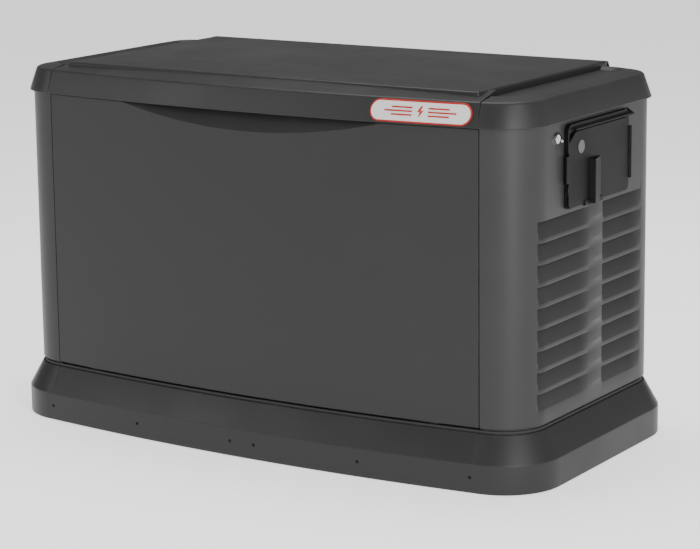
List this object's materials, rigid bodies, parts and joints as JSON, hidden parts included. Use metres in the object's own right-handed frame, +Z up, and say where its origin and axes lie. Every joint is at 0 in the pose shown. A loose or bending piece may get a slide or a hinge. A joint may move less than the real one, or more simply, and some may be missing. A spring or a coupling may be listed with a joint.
{
  "type": "home standby generator",
  "caption": "Home standby generator: bowed steel enclosure on a flared base, hinged roof, lift-off front door, louvred ends, twin-cylinder engine and alternator inside.",
  "frame": {"origin": "centre of the footprint, on the ground", "axes": "+Z up, -Y out of the front door, +X to the end with the access cover"},
  "size_m": [1.228, 0.6479, 0.732],
  "materials": {
    "shell_paint": "fine satin powder coat, dark grey",
    "end_paint": "fine satin powder coat, mid grey",
    "base_black": "moulded composite, slightly rough",
    "frame_steel": "satin black paint",
    "wall_steel": "galvanised sheet",
    "badge_red": "glossy red",
    "badge_face": "satin pale grey",
    "lock_metal": "plated, slightly worn",
    "cover_black": "grained black plastic",
    "window_grey": "milky translucent plastic",
    "rubber_black": "matt black rubber",
    "cast_alloy": "rough die casting",
    "plug_ceramic": "glazed white",
    "machined_steel": "turned steel",
    "copper_winding": "laminated iron with varnished copper ends",
    "starter_black": "gloss black paint",
    "filter_paint": "gloss white paint",
    "grip_yellow": "yellow moulded grip",
    "filter_paper": "pleated paper",
    "exhaust_steel": "heat tinted steel",
    "battery_case": "moulded battery case",
    "cable_red": "red cable jacket",
    "cable_black": "black cable jacket",
    "key_green": "green push key"
  },
  "bodies": {
    "enclosure": {"base_tray": "base_black", "base_fascia_front": "shell_paint", "base_fascia_rear": "shell_paint", "base_fascia_right": "shell_paint", "base_fascia_left": "shell_paint", "right_end_panel": "end_paint", "left_end_panel": "end_paint", "rear_panel": "end_paint", "front_header": "frame_steel", "hinge_base_leaves": "frame_steel", "lock_housings": "lock_metal", "access_frame": "cover_black", "engine_wall": "wall_steel", "muffler_wall": "wall_steel", "vibration_mounts": "rubber_black", "engine_bed": "frame_steel", "crankcase": "cast_alloy", "cylinders": "cast_alloy", "rocker_covers": "frame_steel", "spark_plugs": "plug_ceramic", "alternator_can": "cast_alloy", "stator_core": "copper_winding", "bearing_carrier": "cast_alloy", "blower_housing": "frame_steel", "starter_motor": "starter_black", "oil_filter": "filter_paint", "intake_mixer": "cast_alloy", "air_cleaner_base": "cover_black", "air_filter": "filter_paper", "air_cleaner_cover": "cover_black", "exhaust_pipes": "exhaust_steel", "muffler": "exhaust_steel", "fuel_regulator": "cast_alloy", "fuel_hose": "rubber_black", "battery": "battery_case", "battery_strap": "rubber_black", "battery_cable_positive": "cable_red", "battery_cable_negative": "cable_black", "control_box": "frame_steel", "control_panel": "cover_black", "main_breaker": "cover_black"},
    "roof_lid": {"roof_center": "shell_paint", "roof_end_cap_right": "shell_paint", "roof_end_cap_left": "shell_paint", "hinge_lid_leaves": "frame_steel", "lock_catches": "frame_steel", "badge_rim": "badge_red", "badge_plate": "badge_face"},
    "door": {"front_door": "shell_paint"},
    "access_flap": {"access_door": "cover_black", "access_window": "window_grey"},
    "right_lock": {"right_lock_plug": "lock_metal"},
    "left_lock": {"left_lock_plug": "lock_metal"},
    "engine_shaft": {"crankshaft": "machined_steel", "flywheel_fan": "cast_alloy", "rotor": "machined_steel"},
    "oil_dipstick": {"dipstick": "grip_yellow"},
    "auto_key": {"key_auto": "key_green"},
    "off_key": {"key_off": "badge_red"},
    "manual_key": {"key_manual": "plug_ceramic"},
    "breaker_handle": {"breaker_lever": "plug_ceramic"}
  },
  "joints": [
    {"name": "roof_hinge", "type": "hinge", "parent": "enclosure", "child": "roof_lid", "pos_m": [0, 0.309, 0.664], "axis": [-1, 0, 0], "range_deg": [0, 85]},
    {"name": "door_removal", "type": "slide", "parent": "enclosure", "child": "door", "axis": [0, -1, 0], "range_m": [0, 0.3]},
    {"name": "access_hinge", "type": "hinge", "parent": "enclosure", "child": "access_flap", "pos_m": [0.593, 0.14, 0.58], "axis": [0, 0, 1], "range_deg": [0, 110]},
    {"name": "right_lock_turn", "type": "hinge", "parent": "enclosure", "child": "right_lock", "pos_m": [0.576, -0.138, 0.641], "axis": [-1, 0, 0], "range_deg": [0, 90]},
    {"name": "left_lock_turn", "type": "hinge", "parent": "enclosure", "child": "left_lock", "pos_m": [-0.576, -0.138, 0.641], "axis": [-1, 0, 0], "range_deg": [0, 90]},
    {"name": "shaft_spin", "type": "hinge", "parent": "enclosure", "child": "engine_shaft", "pos_m": [0.125, 0.02, 0.25], "axis": [1, 0, 0], "continuous": true},
    {"name": "dipstick_pull", "type": "slide", "parent": "enclosure", "child": "oil_dipstick", "axis": [0, 0, 1], "range_m": [0, 0.165]},
    {"name": "auto_press", "type": "slide", "parent": "enclosure", "child": "auto_key", "axis": [0, 0, -1], "range_m": [0, 0.0015], "stiffness_N_per_m": 600, "springref_m": -0.001},
    {"name": "off_press", "type": "slide", "parent": "enclosure", "child": "off_key", "axis": [0, 0, -1], "range_m": [0, 0.0015], "stiffness_N_per_m": 600, "springref_m": -0.001},
    {"name": "manual_press", "type": "slide", "parent": "enclosure", "child": "manual_key", "axis": [0, 0, -1], "range_m": [0, 0.0015], "stiffness_N_per_m": 600, "springref_m": -0.001},
    {"name": "breaker_throw", "type": "hinge", "parent": "enclosure", "child": "breaker_handle", "pos_m": [0.5385, 0, 0.585], "axis": [0, 1, 0], "range_deg": [-28, 28]}
  ]
}
